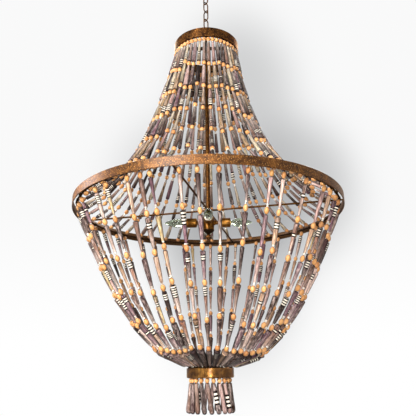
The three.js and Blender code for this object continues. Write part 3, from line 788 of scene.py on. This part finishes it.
def make_pendants():
    chance = random.Random("tassel")
    top = TASSEL_HOOP.height - SMALL_WIRE / 2 - SEAT
    wood_top = top - PENDANT_HOOK
    wood_end = wood_top - PENDANT_WOOD
    spine_top = wood_end - BEAD_PLAY
    heights = (top, wood_top, wood_end, spine_top, spine_top - PENDANT_SPINE)
    for i in range(PENDANT_PAIRS):
        spines, woods, wires = Skin(), Skin(), Skin()
        for side in (-1, 1):
            azimuth = TURN * (i + 0.5 + side * 0.25) / PENDANT_PAIRS
            hook, wood, below, spine, tip = (
                polar(azimuth, TASSEL_HOOP.radius, height) for height in heights)
            # each leans out, and sideways much as its neighbours do
            out, aside = chance.uniform(4.4, 5.4) * MM, (11 + 0.6 * math.sin(3 * azimuth)) * MM
            tip += out * polar(azimuth) + aside * sideways(azimuth)
            woods.bead(wood, below, wood_outline(PENDANT_WOOD_RADIUS), seed=chance.random())
            spines.bead(
                spine, tip, pendant_outline(chance), ridge=0.02,
                seed=pendant_seed(chance, (i, side) in RINGED_PENDANTS),
                lobe=chance.uniform(0, 0.03), roll=chance.uniform(0, TURN), first=0.4)
            wires.sweep([hook, wood, spine], THREAD_RADIUS)
            hook_round(wires, azimuth, TASSEL_HOOP)
        node, body = f"pendant_pair_{i + 1}", f"pendant_{i + 1}"
        spines.piece(f"{node}_spines", "spine", node, body, smooth=60)
        woods.piece(f"{node}_wood_beads", "wood", None, body, smooth=70)
        wires.piece(f"{node}_wires", "iron", None, body)


# Frame

BAND_EDGE = 0.7 * MM
COLLAR_EDGE = 0.8 * MM


def band(name, finish, node, radius, low, high, sides=240):
    """A rolled ring with eased edges."""
    inner, edge = radius - RING_WALL, BAND_EDGE
    outline = [(inner, low + edge, 1), (inner + edge / 2, low), (radius - edge, low),
               (radius, low + edge), (radius, high - edge), (radius - edge, high),
               (inner + edge / 2, high, 1), (inner, high - edge, 1)]
    turned_piece(name, finish, node, outline, sides, closed=True, smooth=30)


def wire_hoop(node, hoop):
    skin = Skin()
    skin.sweep(circle(hoop, 160), hoop.wire / 2, 14, closed=True, side=(0, 0, 1))
    skin.piece(f"{node}_wire", "iron", node, smooth=60)


def bottom_ring():
    """A spun band whose lower edge rolls in to a lip."""
    lip, steps = BOTTOM_RING_LIP, 8
    outer, inner = BOTTOM_RING_RADIUS, BOTTOM_RING_RADIUS - BOTTOM_RING_WALL
    low, high = BOTTOM_RING_LOW, BOTTOM_RING_HIGH
    outline = [(outer - 1.2 * lip, low + 0.45 * lip)]
    for i in range(steps + 1):
        angle = math.pi / 2 * i / steps
        outline.append((outer - lip + lip * math.sin(angle), low + lip - lip * math.cos(angle)))
    outline += [(outer, high - 0.6 * MM), (outer - 0.6 * MM, high), (inner + 0.3 * MM, high),
                (inner, high - 0.4 * MM), (inner, low + 1.3 * lip),
                (inner - lip * 0.4, low + 0.8 * lip)]
    turned_piece("bottom_ring_band", "brass", "bottom_ring", outline, 160, closed=True)


def spokes():
    """Four rods, each with a weld where it meets the collar."""
    low, high = span("spokes")
    middle = (low + high) / 2
    bore, edge = STEM_RADIUS + SEAT, COLLAR_EDGE
    collar = [(bore, low), (COLLAR_RADIUS - edge, low), (COLLAR_RADIUS, low + edge),
              (COLLAR_RADIUS, high - edge), (COLLAR_RADIUS - edge, high), (bore, high)]
    weld_outline = [(0, 4.2 * MM), (0.4, 3.6 * MM), (0.8, 2.9 * MM), (1, SPOKE_RADIUS)]
    skin = Skin()
    skin.turned(collar, closed=True)
    reach = (RING_RADIUS - RING_WALL) * math.cos(math.pi / UPPER.count) - SEAT
    for i in range(4):
        azimuth = SPOKE_TURN + TURN * i / 4
        foot = polar(azimuth, COLLAR_RADIUS - edge, middle)
        rod = [foot] + [polar(azimuth, share * reach, middle) for share in (0.3, 0.7, 1)]
        skin.sweep(rod, SPOKE_RADIUS, 14)
        skin.bead(foot, polar(azimuth, COLLAR_RADIUS + 3 * MM, middle), weld_outline)
    skin.piece("spoke_spider", "old_bronze", "spokes", slot="dark_iron", smooth=50)


def make_frame():
    band("big_ring_band", "gold", "big_ring", RING_RADIUS, RING_LOW, RING_HIGH, 360)
    band("top_ring_band", "bronze", "top_ring", TOP_RING_RADIUS, TOP_RING_LOW, TOP_RING_HIGH)
    wire_hoop("strand_hoop", STRAND_HOOP)
    wire_hoop("tassel_hoop", TASSEL_HOOP)
    bottom_ring()
    spokes()
    low, high = span("stem")
    tube = [(STEM_BORE, low), (STEM_RADIUS, low), (STEM_RADIUS, high), (STEM_BORE, high)]
    turned_piece("stem_tube", "old_bronze", "stem", tube, 40, closed=True, smooth=40)


# Ceiling fitting and chain

LOOP_WIRE = 4.5 * MM
LOOP_RADIUS = 10 * MM
LOOP_BASE = 9 * MM
LOOP_SHARES = [(0, 0), (0.8, 0), (0.97, 0.04), (1, 0.12), (1, 0.3), (0.86, 0.38),
               (0.84, 0.44), (0.92, 0.5), (0.92, 0.86), (0.78, 0.96), (0, 1)]
LOOP_STEPS = 18
LINKS = 5
LINK_WIRE = 3.6 * MM
LINK_WIDTH = 20 * MM
LINK_LENGTH = 38.1 * MM
CHAIN_TURN = math.radians(45)
CANOPY_RADIUS = 63.5 * MM
CANOPY_WALL = 1.2 * MM
CANOPY_HOLE = 5.4 * MM
CANOPY_STEPS = 14
# Share of a quarter circle that the dome takes, before its flat middle
CANOPY_ARC = 0.93


def wire_loop(skin, end_radius, straight, azimuth, height, wire):
    """A closed wire loop that stands in the plane of an azimuth."""
    path = []
    for end in (1, -1):
        for i in range(LOOP_STEPS + (straight > 0)):
            angle = math.pi * i / LOOP_STEPS
            across = end * end_radius * math.cos(angle)
            up = end * (straight / 2 + end_radius * math.sin(angle))
            path.append(polar(azimuth, across, height + up))
    skin.sweep(path, wire / 2, 16, closed=True, side=sideways(azimuth))


def eye_loop(name, node, body, eye_below):
    """An eye on a turned base."""
    low, high = span(node)
    skin = Skin()
    eye_tall = 2 * LOOP_RADIUS + LOOP_WIRE - 1 * MM
    if eye_below:
        eye = low + LOOP_WIRE / 2 + LOOP_RADIUS
        base = scaled(reversed(LOOP_SHARES), LOOP_BASE, high, low + eye_tall - high)
    else:
        eye = high - LOOP_WIRE / 2 - LOOP_RADIUS
        base = scaled(LOOP_SHARES, LOOP_BASE, low, high - eye_tall - low)
    wire_loop(skin, LOOP_RADIUS, 0, CHAIN_TURN, eye, LOOP_WIRE)
    skin.turned(base)
    skin.piece(name, "bronze", node, body, smooth=45)


def make_ceiling():
    # a spun dome, open below, with a hole that the loop clamps over
    low, high = span("canopy")
    radius, wall, tall = CANOPY_RADIUS, CANOPY_WALL, high - low
    outer, inner = [], []
    for i in range(CANOPY_STEPS):
        angle = math.pi / 2 * i / CANOPY_STEPS * CANOPY_ARC
        outer.append((radius * math.cos(angle), -tall * math.sin(angle)))
        inner.append(((radius - wall) * math.cos(angle), -(tall - wall) * math.sin(angle)))
    outer.append((CANOPY_HOLE, -tall))
    inner.append((CANOPY_HOLE, -tall + wall))
    turned_piece("canopy_dome", "bronze", "canopy", outer[::-1] + inner, 96, "ceiling_mount", True)
    eye_loop("canopy_eye", "canopy_loop", "ceiling_mount", True)
    eye_loop("fixture_eye", "fixture_loop", "fixture", False)
    for i in range(LINKS):
        node = f"chain_link_{i + 1}"
        azimuth = CHAIN_TURN + (math.pi / 2 if i % 2 == 0 else 0)
        skin = Skin()
        end_radius, straight = (LINK_WIDTH - LINK_WIRE) / 2, LINK_LENGTH - LINK_WIDTH
        wire_loop(skin, end_radius, straight, azimuth, sum(span(node)) / 2, LINK_WIRE)
        skin.piece(f"chain_link_wire_{i + 1}", "bronze", node, f"chain_{i + 1}", smooth=60)


# Light cluster

LIGHTS = 4
HUB_RADIUS = 14.75 * MM
HUB_WALL = 1.5 * MM
HUB_BORE = 3.9 * MM
ARM_RADIUS = 5 * MM
ARM_REACH = 29.35 * MM
FINIAL_RADIUS = 8 * MM
FINIAL_NECK = 3.5 * MM
COVER_RADIUS = 12.5 * MM
COVER_WALL = 1.2 * MM
SOCKET_RADIUS = 11 * MM
SOCKET_BORE = 6.6 * MM
SOCKET_DEPTH = 20.8 * MM
SOCKET_EDGE = 0.5 * MM
BASE_RADIUS = 6.1 * MM
THREAD_DEPTH = 0.38 * MM
THREAD_START = 3.8 * MM
THREAD_TURNS = 9
THREAD_PITCH = 4.2 * MM * 4 / 9
BULB_RADIUS = 11.8 * MM
GLASS_WALL = 0.7 * MM


def make_hub():
    radius, wall = HUB_RADIUS, HUB_WALL
    low, high = span("hub_body")
    shell = [(HUB_BORE, 1), (0.3 * radius, 1), (0.62 * radius, 0.985), (0.93 * radius, 0.955),
             (radius, 0.92), (radius, 0.86), (0.955 * radius, 0.84), (0.955 * radius, 0.8),
             (radius, 0.78), (radius, 0.16), (0.96 * radius, 0.14), (0.96 * radius, 0.1),
             (radius, 0.08), (radius, 0.01), (radius - 0.3 * MM, 0), (radius - wall, 0),
             (radius - wall, 0.94), (HUB_BORE, 0.94)]
    skin = Skin()
    skin.turned(scaled(shell[::-1], 1, low, high - low), 64, closed=True)
    arm = [(0, 7.2 * MM), (0.16, 7 * MM), (0.22, 6.2 * MM), (0.3, ARM_RADIUS),
           (0.8, ARM_RADIUS), (0.82, 6.4 * MM), (0.96, 6.4 * MM), (1, 5.4 * MM)]
    for i in range(LIGHTS):
        foot, tip = (polar(TURN * i / LIGHTS, far, LIGHT_HEIGHT)
                     for far in (radius - 0.6 * wall, ARM_REACH))
        skin.bead(foot, tip, arm, 28)
    skin.piece("hub_shell", "old_brass", "hub_body", smooth=35)

    low, high = span("hub_cap")
    cap = [(0, 0), (0.3, 0), (0.36, 0.06), (0.44, 0.22), (0.6, 0.44), (0.8, 0.6),
           (0.92, 0.7), (1, 0.8), (1, 1), (0, 1)]
    # the cap's near-black iron finish is painted shade: the cap faces down, away from the lamps
    turned_piece("hub_cap_turned", "iron", "hub_cap", scaled(cap, radius, low, high - low), 64)

    low, high = span("finial")
    ball = FINIAL_RADIUS
    outline = [(0, low)]
    for i in range(1, 15):
        angle = math.pi * i / 16
        outline.append((ball * math.sin(angle), low + ball - ball * math.cos(angle)))
    outline += [(FINIAL_NECK, high - 0.2 * MM), (FINIAL_NECK, high), (0, high)]
    turned_piece("finial_ball", "bronze", "finial", outline, smooth=50)


def cup_outline():
    """The socket cover, a cup that is open outward."""
    start, end = span("socket_cover_1", 0)
    cup = [(0, 0), (0.55, 0), (0.84, 0.03), (0.95, 0.09), (0.98, 0.16), (0.98, 0.84),
           (1, 0.86), (1, 0.98), (0.97, 1)]
    inside, floor = COVER_RADIUS - COVER_WALL, start + 1.5 * COVER_WALL
    outline = scaled(cup, COVER_RADIUS, start, end - start)
    return outline + [(inside, end), (inside, floor), (0, floor)]


def socket_outline():
    start, end = span("socket_1", 0)
    edge, depth = end - SOCKET_EDGE, end - SOCKET_DEPTH
    return [(0, start), (SOCKET_RADIUS, start), (SOCKET_RADIUS, edge),
            (SOCKET_RADIUS - SOCKET_EDGE, end), (SOCKET_BORE + 0.4 * MM, end), (SOCKET_BORE, edge),
            (SOCKET_BORE, depth), (0, depth)]


def base_outline():
    """The bulb's screw base: a contact, a shoulder and a rolled thread."""
    start, end = span("bulb_base_1", 0)
    outline = [(0, start), (0.3 * BASE_RADIUS, start), (0.34 * BASE_RADIUS, start + 0.8 * MM),
               (0.62 * BASE_RADIUS, start + 2 * MM), (0.9 * BASE_RADIUS, start + 3.4 * MM)]
    for quarter in range(4 * THREAD_TURNS + 1):
        radius = BASE_RADIUS - THREAD_DEPTH * (1 - math.cos(TURN * quarter / 4)) / 2
        outline.append((radius, start + THREAD_START + quarter * THREAD_PITCH / 4))
    return outline + [(BASE_RADIUS, end - 0.8 * MM), (BASE_RADIUS, end), (0, end)]


def glass_outlines():
    """The outer and the inner face of the torpedo glass."""
    start, end = span("bulb_glass_1", 0)
    length, wall = end - start, GLASS_WALL
    torpedo = [(0.5, 0), (0.52, 0.03), (0.6, 0.07), (0.72, 0.12), (0.86, 0.18), (0.95, 0.25),
               (1, 0.33), (0.985, 0.42), (0.93, 0.52), (0.83, 0.62), (0.69, 0.72), (0.53, 0.81),
               (0.36, 0.89), (0.2, 0.95), (0.09, 0.985), (0, 1)]
    outer = [(0, start)] + scaled(torpedo, BULB_RADIUS, start, length)
    inner = [(max(wide * BULB_RADIUS - wall, 0), start + wall + share * (length - 2.2 * wall))
             for wide, share in torpedo]
    return outer, inner[::-1] + [(0, start + wall)]


def filament(skin):
    """The glass mount's two wires and the coil inside a bulb."""
    start, end = span("bulb_glass_1", 0)
    length, spread = end - start, 3.2 * MM
    reach = start + 0.5 * length
    mount = [(start + 1.5 * MM, 1.2 * MM), (start + 0.22 * length, 1.4 * MM),
             (start + 0.36 * length, spread * 0.8), (reach, spread)]
    for side in (-1, 1):
        skin.sweep([(far, side * out, LIGHT_HEIGHT) for far, out in mount], 0.3 * MM)
    coil = []
    turns, steps, size = 9, 8, 0.7 * MM
    for k in range(turns * steps + 1):
        share = k / (turns * steps)
        angle = TURN * k / steps
        far = reach + 3 * MM * math.sin(math.pi * share) + size * math.cos(angle)
        coil.append((far, spread * (2 * share - 1), LIGHT_HEIGHT + size * math.sin(angle)))
    skin.sweep(coil, 0.16 * MM, 5, side=(0.3, 0.2, 1))


def make_lights():
    cup, socket, base, glass = cup_outline(), socket_outline(), base_outline(), glass_outlines()
    for i in range(LIGHTS):
        number, bulb = i + 1, f"bulb_{i + 1}"
        for name, finish, node, body, outlines, smooth in (
                ("socket_cup", "old_brass", "socket_cover", "fixture", [cup], 35),
                ("socket_body", "porcelain", "socket", "fixture", [socket], 35),
                ("bulb_thread", "bulb_brass", "bulb_base", bulb, [base], 35),
                ("bulb_envelope", "glass", "bulb_glass", bulb, glass, 60)):
            skin = Skin()
            for outline in outlines:
                skin.turned(outline, axis="X")
            skin.spin(TURN * i / LIGHTS)
            skin.piece(f"{name}_{number}", finish, f"{node}_{number}", body, smooth=smooth)
        skin = Skin()
        filament(skin)
        skin.spin(TURN * i / LIGHTS)
        skin.piece(f"bulb_filament_{number}", "filament", None, bulb)
    make_hub()


# The CAD nodes that keep their own shape
DRESSED = {"mounting_bar": "nickel", "canopy_nipple": "nickel", "top_locknut": "bronze",
           "top_cross": "bronze", "hub_nipple": "nickel", "bottom_cross": "iron"}


def dress_nodes():
    for node, finish in DRESSED.items():
        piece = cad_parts[node]
        piece.data.materials.clear()
        piece.data.materials.append(MATERIALS[finish])
        edge = piece.modifiers.new("eased_edges", "BEVEL")
        edge.width = 0.4 * MM
        edge.segments = 2
        edge.limit_method = "ANGLE"
        edge.angle_limit = math.radians(40)


# Backdrop

AMBIENT = 0.05
BACKDROP_SIZE = 12
FLOOR_HEIGHT = -2.6
FLOOR_STRENGTH = 0.9
FLOOR_BOUNCE = 0.25
WALL_BACK = 4.2
WALL_MIDDLE = -0.8
# Level of the wall low down and high up, from white on, and the heights between which it changes
WALL_LEVELS = (1, 249 / 255)
WALL_CHANGE = (-0.86, 0.589)
# Painted soft shadows of the chandelier on the wall: the middle's place across and its height,
# the spread across and up, and the depth in steps of 255
WALL_SHADES = [(1.068, 0.885, 0.465, 0.603, 50.5), (0.376, 2.182, 0.511, 0.755, 41.8),
               (0.257, 0.063, 0.523, 0.805, 59), (-0.353, 0.921, 0.54, 0.629, 32.6)]
SHADE_FLATNESS = 1.57
SCREEN_GAMMA = 2.2


def seen_rays(shader):
    """1 for rays that see the backdrop: straight, in a reflection or through glass."""
    path = shader.node("LightPath")
    seen = path.outputs["Is Camera Ray"]
    for ray in ("Is Transmission Ray", "Is Glossy Ray"):
        seen = shader.maths("MAXIMUM", seen, path.outputs[ray])
    return seen


def backdrop_surface(shader, tone, strength, bounce):
    """A backdrop with its tone where it is seen, over a dull surface that takes shadow."""
    strength = shader.times(seen_rays(shader), strength)
    both = shader.node("AddShader")
    shader.join(shader.node("BsdfDiffuse", {"Color": (bounce, bounce, bounce, 1)}), both.inputs[0])
    shader.join(shader.node("Emission", {"Color": tone, "Strength": strength}), both.inputs[1])
    shader.join(both, shader.output.inputs[0])
    return shader.material


def wall_tone(shader):
    """White below, a little off white above, with the chandelier's soft shadows painted on."""
    maths, times = shader.maths, shader.times
    place = shader.node("SeparateXYZ", {"Vector": shader.object_place()})
    heights = (height - WALL_MIDDLE for height in WALL_CHANGE)
    level = shader.between(place.outputs["Y"], *WALL_LEVELS, *heights)
    # each painted shadow of the chandelier takes its depth off the wall's level
    for across, up, wide, tall, depth in WALL_SHADES:
        x = maths("DIVIDE", maths("SUBTRACT", place.outputs["X"], across), wide)
        y = maths("DIVIDE", maths("SUBTRACT", place.outputs["Y"], up - WALL_MIDDLE), tall)
        fall = maths("POWER", times(maths("ADD", times(x, x), times(y, y)), 0.5), SHADE_FLATNESS)
        level = maths("SUBTRACT", level, times(maths("EXPONENT", times(fall, -1)), depth / 255))
    tone = maths("POWER", level, SCREEN_GAMMA)
    # a touch cooler where it is darker
    red, blue = maths("POWER", tone, 1.015), maths("POWER", tone, 0.985)
    return shader.node("CombineXYZ", {"X": red, "Y": tone, "Z": blue})


def make_backdrop():
    studio = World("studio")
    strength = studio.between(seen_rays(studio), AMBIENT, 1)
    background = studio.node("Background", {"Color": WHITE, "Strength": strength})
    studio.join(background, studio.output.inputs[0])
    shader = Shader("backdrop")
    surface = backdrop_surface(shader, wall_tone(shader), 1, 0)
    wall = plane("backdrop_wall", (0, WALL_BACK, WALL_MIDDLE), math.pi / 2, surface)
    surface = backdrop_surface(Shader("floor"), WHITE, FLOOR_STRENGTH, FLOOR_BOUNCE)
    floor = plane("floor", (0, 0, FLOOR_HEIGHT), 0, surface)


def plane(name, place, tilt, material):
    half = BACKDROP_SIZE / 2
    mesh = bpy.data.meshes.new(name)
    corners = [(-half, -half, 0), (half, -half, 0), (half, half, 0), (-half, half, 0)]
    mesh.from_pydata(corners, [], [(0, 1, 2, 3)])
    mesh.materials.append(material)
    made = add_object(name, mesh)
    made.location = place
    made.rotation_euler = (tilt, 0, 0)
    return made


set_camera()
for lamp in LAMPS:
    set_lamp(*lamp)
make_backdrop()
MATERIALS = make_materials()
dress_nodes()
make_frame()
make_ceiling()
make_lights()
make_strands(UPPER)
make_strands(LOWER)
make_pendants()

scene = bpy.context.scene
scene.view_settings.view_transform = "Standard"
